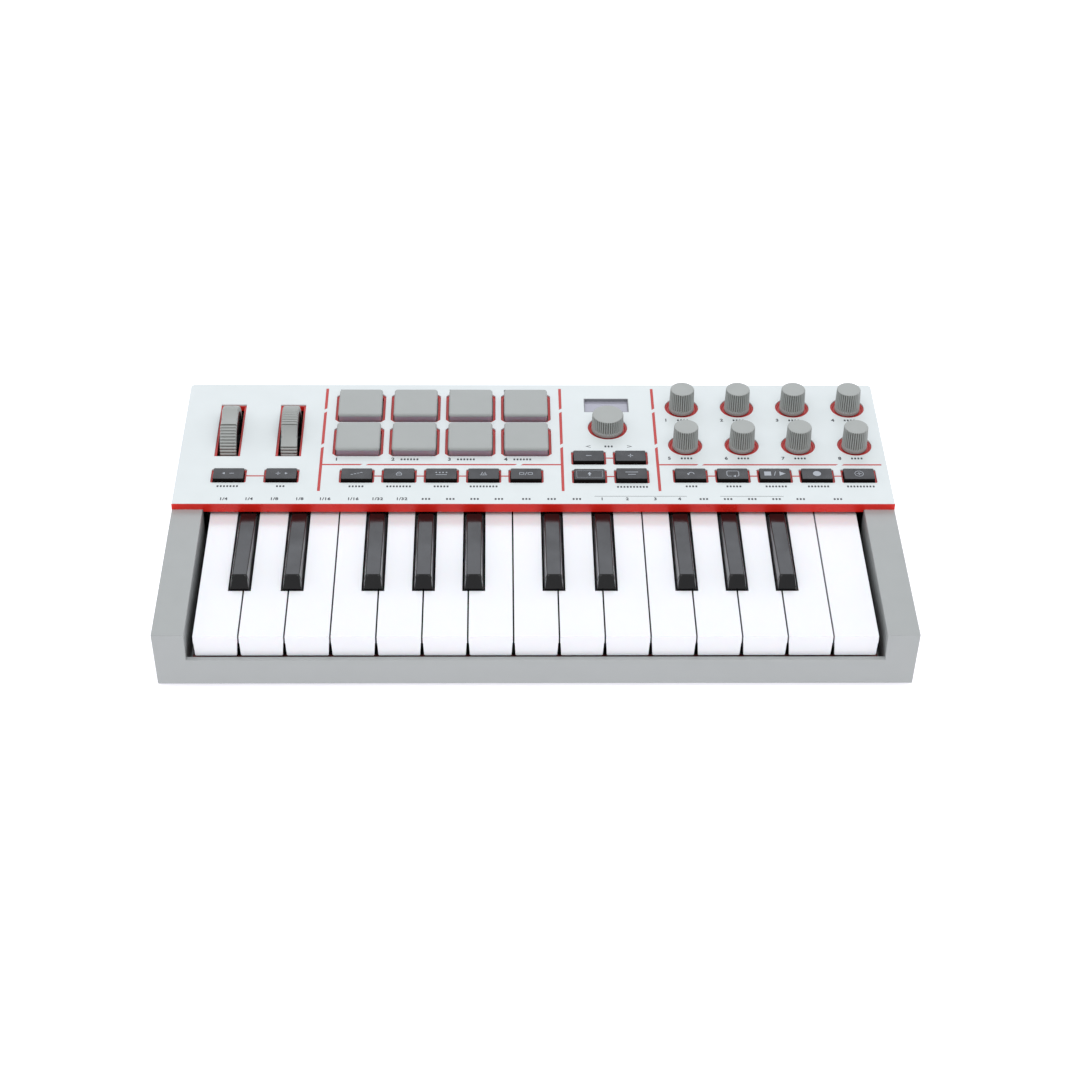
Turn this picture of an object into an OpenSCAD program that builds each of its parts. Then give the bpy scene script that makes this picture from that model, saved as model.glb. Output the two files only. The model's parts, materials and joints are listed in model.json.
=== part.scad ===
// Mini MIDI keyboard with 25 keys, pads, knobs, buttons, two wheels and a display.
// The origin is on the desk under the middle of the keyboard: +X right, +Y back, +Z up.
// Most modules work in the case's own frame, which in_case() puts in place:
// x from the centre line, y back from the front face, z up from the underside of the case.

/* [Case] */
// Width of the case across its cheeks, at their top
case_w = 334.4; // [330:0.2:340]
// Depth of the case from front to back
case_d = 185.4; // [184:0.2:190]
// Height of the cheeks above the underside
cheek_h = 27.9; // [27:0.1:29]
// Height of the front lip under the keys
lip_h = 13.8; // [12:0.1:14]
// Clear width between the cheeks
well_w = 306; // [303:0.5:308]
// Thickness of the walls and the floor
wall = 2.2; // [2:0.1:2.6]
// Inward lean of each side between top and bottom
side_draft = 0.9; // [0:0.1:1.5]
// Height of the rubber feet below the case
foot_h = 2; // [1:0.5:4]

/* [Panels] */
// Distance from the front face to the front edge of the panels
panel_y = 89.2; // [88.5:0.1:90]
// Thickness of the red accent panel
accent_t = 2.3; // [2.1:0.1:2.6]
// Thickness of the white top panel
panel_t = 0.8; // [0.5:0.05:1]
// Width of the red lip along the front edge of the white panel
lip_w = 0.3; // [0.2:0.05:0.6]
// Width of a red rim around a button or a wheel
rim_w = 0.8; // [0.6:0.1:1]
// Radius of the panels' back corners
panel_r = 2; // [0.5:0.5:4]

/* [Keys] */
// Distance from one white key to the next
key_pitch = 20; // [19.8:0.1:20]
// Gap between two white keys
key_gap = 0.7; // [0.4:0.1:0.9]
// Height of the white keys' top above the underside
key_top = 24.7; // [24.4:0.1:25.4]
// Distance from the front face to the front of the white keys
key_front = 2.9; // [2.6:0.1:3.6]
// Length of the full-width front part of a white key
key_head = 31.3; // [28:0.1:33]
// Width of the slot between white keys that a black key fills
black_slot = 10.2; // [9.8:0.1:10.6]
// Width of a black key at its base
black_w = 9.2; // [8.8:0.1:9.4]
// Width of a black key at its top
black_top_w = 6.8; // [6:0.1:8]
// Height of a black key's front edge above the underside
black_top = 30.4; // [29:0.1:31]

/* [Wheels] */
// Radius of the pitch and modulation wheels
wheel_r = 19; // [18.4:0.1:19.2]
// Width of a wheel
wheel_w = 7.7; // [7:0.1:8.2]
// Height of the wheel axles above the underside
wheel_z = 22; // [21.5:0.1:22.5]
// Angle of the thumb scoop when the modulation wheel is at its low end
mod_rest = 39.4; // [36:0.2:42]
// Angle of the thumb scoop when the pitch wheel is at its middle
pitch_rest = 5.6; // [0:0.2:8]

/* [Knobs] */
// Radius of a small knob at its base
knob_r = 6.1; // [5.8:0.05:6.3]
// Height of a small knob above the panel
knob_top = 11.15; // [10:0.05:12]
// Radius of the selector knob at its base
selector_r = 7.7; // [7.4:0.05:7.9]
// Height of the selector knob above the panel
selector_top = 8.1; // [7:0.1:9]
// Radius of a knob's shaft
shaft_r = 3; // [2.9:0.05:3]
// Radial clearance of a shaft in its bush
run_gap = 0.06; // [0.03:0.01:0.1]

/* [Pads and buttons] */
// Width of a pad
pad_w = 21; // [20:0.1:21.4]
// Depth of a pad
pad_d = 21.4; // [20.6:0.1:22]
// Height of a pad above the panel
pad_top = 4; // [2.4:0.1:4.4]
// Width of a button cap
cap_w = 14.3; // [13.8:0.1:14.5]
// Depth of a button cap
cap_d = 8.2; // [7.6:0.1:8.4]
// Height of a button cap above the panel
cap_top = 1.5; // [1:0.1:1.7]

/* [Hidden] */
// Derived heights, above the underside of the case
accent_z = cheek_h;
panel_z = accent_z + accent_t;
top_z = panel_z + panel_t;
dish_z = top_z - 1.3;
board_z = 21;
board_t = 1.6;
board_top = board_z + board_t;
pivot_z = 16.8;

// Derived positions in plan
bay_w = case_w - 2 * side_draft - 2 * wall;
well_back = panel_y + 1.8;
keys_left = -7.5 * key_pitch;
head_back = key_front + key_head;
body_back = 95;
pivot_y = 116;
rib_y = [109, 121];
contact_y = 80;
contact_board = [62, 98];
contact_board_z = 6;
wheel_y = 147.35;
wheel_x = [-144.7, -115.9];
wheel_slot = [12.2, 42.1];
bearing_gap = 0.7;
axle_r = 2.5;
pin_r = 1.5;
tail_w = 6.4;
fine = 48;

// Keys: white key number and sideways shift of each black key in an octave
BLACK_AFTER = [1, 2, 4, 5, 6];
BLACK_SHIFT = [-1.8, 1.6, -2.5, 0, 2.4];
WHITE_COUNT = 15;
BLACK_COUNT = 10;

function black_gap(i) = 7 * floor(i / 5) + BLACK_AFTER[i % 5];
function black_x(i) = keys_left + key_pitch * black_gap(i) + BLACK_SHIFT[i % 5];
// The black key in the gap left of white key i, if there is one
function black_in_gap(i) = [for (b = [0 : BLACK_COUNT - 1]) if (black_gap(b) == i) b];
function white_x(i) = keys_left + key_pitch * i;
// Left and right edges of the narrow rear part of white key i
function rear_left(i) = len(black_in_gap(i)) > 0
    ? black_x(black_in_gap(i)[0]) + black_slot / 2 : white_x(i) + key_gap / 2;
function rear_right(i) = len(black_in_gap(i + 1)) > 0
    ? black_x(black_in_gap(i + 1)[0]) - black_slot / 2 : white_x(i + 1) - key_gap / 2;
// Places between neighbouring key tails, where the frame's bearing ribs stand
rib_x = concat(
    [for (i = [0 : WHITE_COUNT]) if (len(black_in_gap(i)) == 0) white_x(i)],
    [for (b = [0 : BLACK_COUNT - 1], side = [-1, 1]) black_x(b) + side * black_slot / 2]);

// Controls: name, x, y and extra height of each button
button_pitch = 19.8;
BUTTONS = concat(
    [["octave_down_button", -142.6, 110.9, 0], ["octave_up_button", -118, 110.9, 0]],
    [for (i = [0 : 4]) [
        ["arp_button", "latch_button", "repeat_button", "tempo_button", "bank_button"][i],
        -82.8 + button_pitch * i, 110.8, 0]],
    [["minus_button", 26.2, 125, 0], ["plus_button", 46, 125, 0],
     ["shift_button", 26.2, 110.5, 0], ["preset_button", 46, 110.5, 0.4]],
    [for (i = [0 : 4]) [
        ["undo_button", "loop_button", "play_button", "record_button", "overdub_button"][i],
        73.6 + button_pitch * i, 110.9, 0]]);
button_travel = 0.8;
switch_top = board_top + 2.4;
cap_gap = 0.3;

PAD_X = [for (i = [0 : 3]) -83.15 + 26.65 * i];
PAD_Y = [138.15, 165.75];
pad_gap = 0.3;
pad_rim = [24, 23.5];
pad_corner = 1.9;
// How far the sheet under the pads reaches past the middle of the outer ones
pad_sheet = [11.5, 12];

KNOBS = [for (row = [0, 1], i = [0 : 3]) [72.6 + 26.95 * i, [166.2, 135.3][row]]];
knob_dish_r = 8.2;
SELECTOR = [36, 149.5];
selector_dish_r = 9.5;
DISPLAY = [36.05, 168.15];
window = [21.7, 11.3];

// Red lines: where each starts and ends, and whether each of its two ends is cut at a slant
UPRIGHT_X = [-100.1, 13.6, 58.7];
upright_w = 1.25;
UPRIGHT_Y = [[99.3, 133.4, 0, 1], [136.2, 162.1, 1, 1], [164.9, 182, 1, 0]];
crossbar_y = 119.8;
crossbar_w = 0.9;
CROSSBARS = [[-100.1, -81.1, 0, 1], [-78.4, -8.2, 1, 1], [-5.5, 13.6, 1, 0],
             [58.7, 77.4, 0, 1], [80.1, 143.5, 1, 1], [146.2, 164.5, 1, 0]];
line_slant = 0.6;
connector_w = 0.8;
// Each pair of neighbouring buttons that a thin line joins
JOINED = concat([[0, 1]], [for (i = [2 : 5]) [i, i + 1]], [[7, 8], [9, 10]],
    [for (i = [11 : 14]) [i, i + 1]]);

// Screws and feet
CASE_SCREWS = [[-158, 96.5], [158, 96.5], [-158, 177.5], [158, 177.5], [-52, 178.5], [52, 178.5]];
BOARD_SCREWS = [[-98, 152.5], [11.6, 152.5], [59, 126.5], [59, 170], [113, 126.5], [113, 151]];
FEET = [[-148, 15], [148, 15], [-148, 166], [148, 166]];
boss_r = 3.4;
screw_r = 1.25;
post_r = 2.2;
foot_r = 6.5;

// Sockets at the back: x, height of the middle, radius of the bore
SUSTAIN = [-84, 14.5, 3.25];
MIDI_OUT = [-106, 17.4, 1.8];
USB = [-130, 19];
usb_shell = [9, 3.2];
usb_front = 177;

function two_digits(i) = i < 10 ? str("0", i) : str(i);
function white_name(i) = str("white_key_", two_digits(i + 1));
function black_name(i) = str("black_key_", two_digits(i + 1));
function knob_name(i) = str("knob_", i + 1);

// ---- Helpers ----

module in_case() {
    translate([0, -case_d / 2, foot_h]) children();
}

// A box between its lowest and its highest corner
module block(low, high) {
    translate(low) cube(high - low);
}

// A profile drawn in y and z, extruded from one x to another
module along_x(x0, x1) {
    translate([x0, 0, 0]) rotate([90, 0, 90]) linear_extrude(x1 - x0) children();
}

// A profile drawn in x and z, extruded from one y to another
module along_y(y0, y1) {
    translate([0, y1, 0]) rotate([90, 0, 0]) linear_extrude(y1 - y0) children();
}

module rod_x(x0, x1, y, z, r) {
    along_x(x0, x1) translate([y, z]) circle(r, $fn = fine);
}

module rod_y(x, z, y0, y1, r) {
    along_y(y0, y1) translate([x, z]) circle(r, $fn = fine);
}

module rod_z(p, z0, z1, r) {
    translate([p[0], p[1], z0]) cylinder(r = r, h = z1 - z0, $fn = fine);
}

// A rectangle with rounded corners, centred
module round_rect(w, d, r) {
    square([w - 2 * r, d], center = true);
    square([w, d - 2 * r], center = true);
    for (x = [-1, 1], y = [-1, 1])
        translate([x * (w / 2 - r), y * (d / 2 - r)]) circle(r, $fn = fine);
}

// A rectangle with cut corners, centred
module cut_rect(w, d, c) {
    x = w / 2;
    y = d / 2;
    polygon([[-x + c, -y], [x - c, -y], [x, -y + c], [x, y - c],
             [x - c, y], [-x + c, y], [-x, y - c], [-x, -y + c]]);
}

// ---- Case and panels ----

module case_profile() {
    half = case_w / 2;
    polygon([[-half + side_draft, 0], [half - side_draft, 0], [half, cheek_h], [-half, cheek_h]]);
}

module usb_outline(extra) {
    translate(USB) round_rect(usb_shell[0] + extra, usb_shell[1] + extra, (usb_shell[1] + extra) / 2 - 0.01);
}

module bottom_case() {
    in_case() color([0.66, 0.68, 0.68]) difference() {
        union() {
            difference() {
                along_y(0, case_d) case_profile();
                block([-well_w / 2, wall, wall], [well_w / 2, well_back, cheek_h + 1]);
                block([-well_w / 2, -1, lip_h], [well_w / 2, wall + 1, cheek_h + 1]);
                block([-bay_w / 2, well_back, wall], [bay_w / 2, case_d - wall, cheek_h + 1]);
                for (side = [-1, 1]) scale_x(side)
                    block([well_w / 2 + wall, wall, wall], [bay_w / 2, well_back + 1, cheek_h - wall]);
            }
            for (p = CASE_SCREWS) rod_z(p, wall - 0.1, wall + 1, boss_r);
            for (x = wheel_x, side = [-1, 1]) wheel_bearing(x, side);
        }
        for (p = CASE_SCREWS) {
            rod_z(p, -1, wall + 2, screw_r + 0.4);
            rod_z(p, -1, 1.4, screw_r + 1.9);
        }
        for (p = FEET) rod_z(p, -1, 0.6, foot_r + 0.1);
        rod_y(SUSTAIN[0], SUSTAIN[1], case_d - wall - 1, case_d + 1, 4.8);
        rod_y(MIDI_OUT[0], MIDI_OUT[1], case_d - wall - 1, case_d + 1, 3.2);
        along_y(case_d - wall - 1, case_d + 1) usb_outline(0.6);
    }
}

// Mirrors what follows to the left when side is -1
module scale_x(side) {
    mirror([side < 0 ? 1 : 0, 0, 0]) children();
}

// One of the two upright walls that carry a wheel's axle
module wheel_bearing(x, side) {
    inner = wheel_w / 2 + bearing_gap;
    translate([x, 0, 0]) scale_x(side) difference() {
        along_x(inner, inner + 2) union() {
            polygon([[wheel_y - 9, wall - 0.1], [wheel_y + 9, wall - 0.1],
                     [wheel_y + 4.5, wheel_z], [wheel_y - 4.5, wheel_z]]);
            translate([wheel_y, wheel_z]) circle(4.5, $fn = fine);
        }
        rod_x(inner - 1, inner + 3, wheel_y, wheel_z, axle_r + run_gap);
    }
}

// Outline of a panel from its front edge back, drawn in by inset on the other three sides
module panel_outline(front, inset) {
    w = case_w - 2 * inset;
    r = panel_r;
    translate([-w / 2, front]) square([w, case_d - inset - r - front]);
    translate([-w / 2 + r, front]) square([w - 2 * r, case_d - inset - front]);
    for (side = [-1, 1])
        translate([side * (w / 2 - r), case_d - inset - r]) circle(r, $fn = fine);
}

// Openings in the white panel, which show the accent panel round wheels, buttons, pads and knobs
module openings() {
    for (x = wheel_x) translate([x, wheel_y]) square(wheel_slot, center = true);
    for (b = BUTTONS) translate([b[1], b[2]])
        round_rect(cap_w + 2 * (cap_gap + rim_w), cap_d + 2 * (cap_gap + rim_w), 0.8);
    for (x = PAD_X, y = PAD_Y) translate([x, y]) cut_rect(pad_rim[0], pad_rim[1], pad_corner);
    for (p = KNOBS) translate(p) circle(knob_dish_r, $fn = fine);
    translate(SELECTOR) circle(selector_dish_r, $fn = fine);
}

// Red lines that come up flush through the white panel, grown by extra on every side
module red_lines(extra) {
    half = upright_w / 2 + extra;
    for (x = UPRIGHT_X, y = UPRIGHT_Y) {
        low = line_slant * y[2];
        high = line_slant * y[3];
        polygon([[x - half, y[0] - extra - low], [x + half, y[0] - extra + low],
                 [x + half, y[1] + extra + high], [x - half, y[1] + extra - high]]);
    }
    for (x = CROSSBARS) {
        left = line_slant * x[2];
        right = line_slant * x[3];
        front = crossbar_y - crossbar_w / 2 - extra;
        back = crossbar_y + crossbar_w / 2 + extra;
        polygon([[x[0] - extra - left, front], [x[1] + extra - right, front],
                 [x[1] + extra + right, back], [x[0] - extra + left, back]]);
    }
    for (pair = JOINED)
        translate([BUTTONS[pair[0]][1], BUTTONS[pair[0]][2] - connector_w / 2 - extra])
            square([BUTTONS[pair[1]][1] - BUTTONS[pair[0]][1], connector_w + 2 * extra]);
}

// Holes right through the accent panel
module through_holes() {
    for (x = wheel_x) translate([x, wheel_y])
        square(wheel_slot - 2 * [rim_w + 0.2, rim_w], center = true);
    for (b = BUTTONS) translate([b[1], b[2]])
        round_rect(cap_w + 2 * cap_gap, cap_d + 2 * cap_gap, 0.5);
    for (x = PAD_X, y = PAD_Y) translate([x, y])
        cut_rect(pad_w + 2 * pad_gap, pad_d + 2 * pad_gap, 1.5);
    for (p = concat(KNOBS, [SELECTOR])) translate(p) circle(shaft_r + 0.8, $fn = fine);
    translate(DISPLAY) square(window, center = true);
}

// The sloping hollow in the accent panel that a knob sits in
module dish(p, r) {
    translate([p[0], p[1], dish_z])
        cylinder(r1 = r - 1.3, r2 = r, h = top_z - dish_z + 0.001, $fn = fine);
}

module accent_panel() {
    in_case() color([0.8, 0.17, 0.13]) difference() {
        union() {
            translate([0, 0, accent_z]) linear_extrude(accent_t) panel_outline(panel_y, 0);
            translate([0, 0, panel_z]) linear_extrude(panel_t) difference() {
                red_lines(0);
                openings();
            }
            block([-case_w / 2, panel_y, panel_z - 0.1], [case_w / 2, panel_y + lip_w, top_z]);
            block([-well_w / 2 + 0.3, panel_y, accent_z - 1.3],
                  [well_w / 2 - 0.3, panel_y + 1.6, accent_z + 0.1]);
            for (p = CASE_SCREWS) rod_z(p, wall + 1.2, accent_z + 0.1, boss_r);
            for (p = BOARD_SCREWS) rod_z(p, board_top, accent_z + 0.1, post_r);
        }
        translate([0, 0, accent_z - 1]) linear_extrude(accent_t + panel_t + 2) through_holes();
        for (p = KNOBS) dish(p, knob_dish_r);
        dish(SELECTOR, selector_dish_r);
        for (p = CASE_SCREWS) rod_z(p, wall, accent_z - 2, screw_r + 0.05);
        for (p = BOARD_SCREWS) rod_z(p, board_top - 1, accent_z, 1.05);
    }
}

module top_panel() {
    in_case() color([0.92, 0.94, 0.94]) translate([0, 0, panel_z]) linear_extrude(panel_t)
        difference() {
            panel_outline(panel_y + lip_w + 0.05, 0.1);
            openings();
            red_lines(0.05);
            translate(DISPLAY) square(window, center = true);
        }
}

// One silicone moulding: a thin sheet under the accent panel with eight raised pads
module pad_mat() {
    sheet_z = accent_z - 1.6;
    in_case() color([0.66, 0.68, 0.68]) {
        difference() {
            block([PAD_X[0] - pad_sheet[0], PAD_Y[0] - pad_sheet[1], sheet_z],
                  [PAD_X[3] + pad_sheet[0], PAD_Y[1] + pad_sheet[1], accent_z - 0.2]);
            for (p = CASE_SCREWS) rod_z(p, sheet_z - 1, accent_z, boss_r + 0.4);
        }
        for (x = PAD_X, y = PAD_Y) translate([x, y, accent_z - 0.3])
            linear_extrude(top_z + pad_top - accent_z + 0.3) round_rect(pad_w, pad_d, 1.5);
    }
}

// A level slab of the display, smaller than its window by inset overall
module display_slab(z0, z1, inset) {
    translate([DISPLAY[0], DISPLAY[1], z0]) linear_extrude(z1 - z0)
        square([window[0] - inset, window[1] - inset], center = true);
}

// Display body on the board, a lens let into the panel and the frame round the lens
module display_module() {
    body_top = accent_z - 0.2;
    lens_top = top_z - 1.5;
    frame_top = top_z - 0.05;
    in_case() color([0.35, 0.35, 0.42]) {
        display_slab(board_top, body_top, -3);
        display_slab(body_top - 0.1, lens_top, 0.2);
        difference() {
            display_slab(accent_z, frame_top, 0.1);
            display_slab(accent_z - 1, frame_top + 1, 0.8);
        }
    }
}

// ---- Inside ----

// Carries the keys: plate, front rail, guide posts, bearing ribs, steel pivot rod and felt
module keybed_frame() {
    half = well_w / 2 - 1;
    rod_half = 7.5 * key_pitch + 1.5;
    foot_z = wall + 1;
    rail_y = [3.4, 9];
    rail_top = 7.4;
    felt_t = 1.85;
    post = [3, 3, 18];
    post_y = 13;
    rib_top = pivot_z + 2.8;
    in_case() {
        color([0.12, 0.12, 0.13]) difference() {
            union() {
                block([-half, 3.2, wall], [half, rib_y[1] + 1, wall + 1.4]);
                block([-half, rail_y[0], foot_z], [half, rail_y[1], rail_top]);
                for (y = [contact_board[0], contact_board[1] - 4])
                    block([-half, y, foot_z], [half, y + 4, contact_board_z]);
                for (i = [0 : WHITE_COUNT - 1]) translate([white_x(i) + key_pitch / 2, post_y, 0])
                    block([-post[0] / 2, 0, foot_z], [post[0] / 2, post[1], post[2]]);
                for (x = rib_x) block([x - 1, rib_y[0], foot_z], [x + 1, rib_y[1], rib_top]);
            }
            rod_x(-half - 1, half + 1, pivot_y, pivot_z, pin_r + 0.02);
        }
        color([0.75, 0.75, 0.77]) rod_x(-rod_half, rod_half, pivot_y, pivot_z, pin_r);
        color([0.5, 0.1, 0.1]) translate([0, 0, rail_top + 0.05])
            block([-half + 1, rail_y[0] + 0.2, 0], [half - 1, rail_y[1] - 0.2, felt_t]);
    }
}

// An encoder on the main board, with the threaded bush that the knob's shaft turns in
module encoder(p) {
    half = 5.9;
    translate([p[0], p[1], 0]) {
        block([-half, -half, board_top - 0.1], [half, half, accent_z - 0.5]);
        rod_z([0, 0], accent_z - 0.6, dish_z - 0.4, shaft_r + 0.7);
    }
}

module tact_switch(p) {
    half = 3;
    body_top = board_top + 1.6;
    translate([p[0], p[1], 0]) {
        block([-half, -half, board_top - 0.1], [half, half, body_top]);
        rod_z([0, 0], body_top - 0.1, switch_top, 1.7);
    }
}

// A socket's body: half its width, its front and its underside
module socket_body(x, half, front, low) {
    block([x - half, front, low], [x + half, case_d - wall - 0.2, board_z + 0.1]);
}

module sockets() {
    back = case_d - 0.2;
    inner = case_d - wall - 0.2;
    socket_body(SUSTAIN[0], 8, 160, 8);
    rod_y(SUSTAIN[0], SUSTAIN[1], inner - 0.1, back, 4.6);
    socket_body(MIDI_OUT[0], 4, 170, 13.8);
    rod_y(MIDI_OUT[0], MIDI_OUT[1], inner - 0.1, back, 3);
    socket_body(USB[0], 4.5, usb_front, USB[1]);
    along_y(usb_front, back) usb_outline(0);
}

module socket_bores() {
    rod_y(SUSTAIN[0], SUSTAIN[1], 163, case_d + 1, SUSTAIN[2]);
    rod_y(MIDI_OUT[0], MIDI_OUT[1], 171.5, case_d + 1, MIDI_OUT[2]);
    difference() {
        along_y(usb_front + 1.5, case_d + 1) usb_outline(-0.6);
        block([USB[0] - 3.3, usb_front + 1, USB[1] - 0.35], [USB[0] + 3.3, case_d - 1, USB[1] + 0.35]);
    }
}

module main_board() {
    difference() {
        union() {
            block([-163.5, 98, board_z], [163.5, 182, board_top]);
            for (p = concat(KNOBS, [SELECTOR])) encoder(p);
            for (b = BUTTONS) tact_switch([b[1], b[2]]);
            sockets();
        }
        translate([0, wheel_y, 0])
            block([wheel_x[0] - 7.6, -20, board_z - 1], [wheel_x[1] + 7.6, 20, board_top + 1]);
        for (p = CASE_SCREWS) rod_z(p, board_z - 1, board_top + 1, boss_r + 0.5);
        for (p = BOARD_SCREWS) rod_z(p, board_z - 1, board_top + 1, 1.2);
        for (p = concat(KNOBS, [SELECTOR])) rod_z(p, board_top + 0.8, top_z, shaft_r + run_gap);
        socket_bores();
    }
}

// Board under the keys, with a rubber dome below every key and a ribbon to the main board
module key_contacts() {
    half = well_w / 2 - 3;
    top = contact_board_z + board_t;
    dome = [2.6, 3.8];
    ribbon_x = [134, 146];
    ribbon_t = 0.4;
    ribbon_back = 124;
    block([-half, contact_board[0], contact_board_z], [half, contact_board[1], top]);
    for (x = key_centres()) rod_z([x, contact_y], top - 0.1, top + dome[1], dome[0]);
    along_x(ribbon_x[0], ribbon_x[1])
        polygon([[contact_board[1] - 1, top - 0.1], [ribbon_back, top - 0.1],
                 [ribbon_back, board_z + 0.1], [ribbon_back - ribbon_t, board_z + 0.1],
                 [ribbon_back - ribbon_t, top + 0.3], [contact_board[1] - 1, top + 0.3]]);
}

function key_centres() = concat(
    [for (i = [0 : WHITE_COUNT - 1]) (rear_left(i) + rear_right(i)) / 2],
    [for (b = [0 : BLACK_COUNT - 1]) black_x(b)]);

module circuit_boards() {
    in_case() color([0.1, 0.35, 0.2]) {
        main_board();
        key_contacts();
    }
}

module screw(p, head_z, head_r, r, top) {
    rod_z(p, head_z, head_z + 1.2, head_r);
    rod_z(p, head_z + 1.1, top, r);
}

module feet_and_screws() {
    in_case() {
        color([0.12, 0.12, 0.12]) for (p = FEET) rod_z(p, -foot_h, 0.5, foot_r);
        color([0.6, 0.6, 0.62]) {
            for (p = CASE_SCREWS) screw(p, 0.2, 2.9, screw_r, 14);
            for (p = BOARD_SCREWS) screw(p, board_z - 1.2, 2.2, 1, accent_z - 1);
        }
    }
}

// ---- Keys ----

// The arm behind a key's body, with the eye that turns on the pivot rod
module key_tail(x) {
    along_x(x - tail_w / 2, x + tail_w / 2) {
        translate([body_back - 4, pivot_z - 3.2]) square([pivot_y - body_back + 4, 6.4]);
        translate([pivot_y, pivot_z]) circle(3.2, $fn = fine);
    }
}

module pivot_bore(x) {
    rod_x(x - tail_w, x + tail_w, pivot_y, pivot_z, pin_r + run_gap);
}

// The rib that presses a key's contact dome
module contact_rib(x) {
    block([x - 2, contact_y - 1.5, 13.4], [x + 2, contact_y + 1.5, key_top - 1]);
}

// Cross-section of a white key's head: upright sides at the top, drawn in slightly towards the bottom
module key_section(left, right, low) {
    side_z = key_top - 3.7;
    step = 0.15;
    inset = 0.5;
    cut = 0.4;
    polygon([[left, key_top], [left, side_z], [left + step, side_z], [left + inset, low + cut],
             [left + inset + cut, low], [right - inset - cut, low], [right - inset, low + cut],
             [right - step, side_z], [right, side_z], [right, key_top]]);
}

// A white key is a shell open below: a wide head, a rear part between the black keys, a front apron
module white_key(i) {
    left = white_x(i) + key_gap / 2;
    right = white_x(i + 1) - key_gap / 2;
    rear = [rear_left(i), rear_right(i)];
    tail_x = (rear[0] + rear[1]) / 2;
    shell = 1.5;
    skirt_z = 16;
    apron_z = 14.05;
    apron_back = key_front + 1.8;
    roof_z = key_top - 1.6;
    in_case() color([0.97, 0.97, 0.98]) difference() {
        union() {
            difference() {
                union() {
                    along_y(key_front, head_back) key_section(left, right, apron_z);
                    block([rear[0], head_back - 0.1, skirt_z], [rear[1], body_back, key_top]);
                }
                block([left - 1, apron_back, apron_z - 1], [right + 1, head_back + 1, skirt_z]);
                block([left + shell, apron_back, skirt_z - 1], [right - shell, head_back - shell, roof_z]);
                block([rear[0] + shell, head_back - shell - 0.1, skirt_z - 1],
                      [rear[1] - shell, body_back - shell, roof_z]);
            }
            contact_rib(tail_x);
            key_tail(tail_x);
        }
        pivot_bore(tail_x);
    }
}

// A black key is a tapered shell: its cross-section is cut to its side view
module black_key(i) {
    x = black_x(i);
    front = head_back + 0.8;
    base_z = 16;
    in_case() color([0.1, 0.1, 0.11]) difference() {
        union() {
            difference() {
                intersection() {
                    along_y(front, body_back)
                        polygon([[x - black_w / 2, base_z], [x + black_w / 2, base_z],
                                 [x + black_w / 2, key_top - 0.4], [x + black_top_w / 2, black_top],
                                 [x - black_top_w / 2, black_top], [x - black_w / 2, key_top - 0.4]]);
                    along_x(x - black_w, x + black_w)
                        polygon([[front, base_z], [body_back, base_z],
                                 [body_back, key_top], [panel_y - 0.6, key_top + 0.4],
                                 [panel_y - 0.6, accent_z - 1.9], [front + 4.1, black_top],
                                 [front, key_top + 0.7]]);
                }
                block([x - black_w / 2 + 1.4, front + 1.6, base_z - 1],
                      [x + black_w / 2 - 1.4, body_back - 1.4, key_top - 1.6]);
            }
            contact_rib(x);
            key_tail(x);
        }
        pivot_bore(x);
    }
}

// ---- Wheels, knobs and buttons ----

// A grooved disc with a thumb scoop at an angle from the top, towards the player when positive
module wheel(x, scoop) {
    scoop_r = 15;
    scoop_depth = 1.9;
    first_groove = 19.9;
    groove_step = (360 - 2 * first_groove) / 69;
    groove_half = wheel_w / 2 - 0.5;
    in_case() color([0.69, 0.71, 0.71]) translate([x, wheel_y, wheel_z]) {
        rotate([scoop, 0, 0]) difference() {
            rod_x(-wheel_w / 2, wheel_w / 2, 0, 0, wheel_r);
            rod_x(-wheel_w, wheel_w, 0, wheel_r + scoop_r - scoop_depth, scoop_r);
            for (i = [0 : 69])
                rotate([first_groove + groove_step * i, 0, 0])
                    block([-groove_half, -0.3, wheel_r - 0.4], [groove_half, 0.3, wheel_r + 1]);
        }
        rod_x(-wheel_w / 2 - bearing_gap - 2, wheel_w / 2 + bearing_gap + 2, 0, 0, axle_r);
    }
}

module pitch_wheel() {
    wheel(wheel_x[0], pitch_rest);
}

module modulation_wheel() {
    wheel(wheel_x[1], mod_rest);
}

// A slightly conical cap with a hollow skirt and a shaft that goes down into the encoder
module knob(p, r, taper, top) {
    skirt = 1.6;
    low = dish_z + 0.5;
    high = top_z + top;
    in_case() color([0.69, 0.71, 0.71]) translate([p[0], p[1], 0]) {
        rotate_extrude($fn = 96) polygon([
            [0, low + 1.2], [r - skirt, low + 1.2], [r - skirt, low], [r, low], [r, low + 1.5],
            [r - taper, high - 0.4], [r - taper - 0.4, high], [0, high]]);
        rod_z([0, 0], board_top + 1.2, low + 1.4, shaft_r);
    }
}

// A button: cap, flange that holds it under the panel, and plunger over its switch
module button(b) {
    flange_z = accent_z - 1.3;
    low = flange_z + 0.9;
    high = top_z + cap_top + b[3];
    in_case() color([0.34, 0.35, 0.37]) translate([b[1], b[2], 0]) {
        translate([0, 0, flange_z]) linear_extrude(1) round_rect(cap_w + 1.9, cap_d + 1.9, 0.6);
        translate([0, 0, low]) linear_extrude(high - low) round_rect(cap_w, cap_d, 0.5);
        rod_z([0, 0], switch_top + button_travel + 0.15, flange_z + 0.1, 1.6);
    }
}

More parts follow.
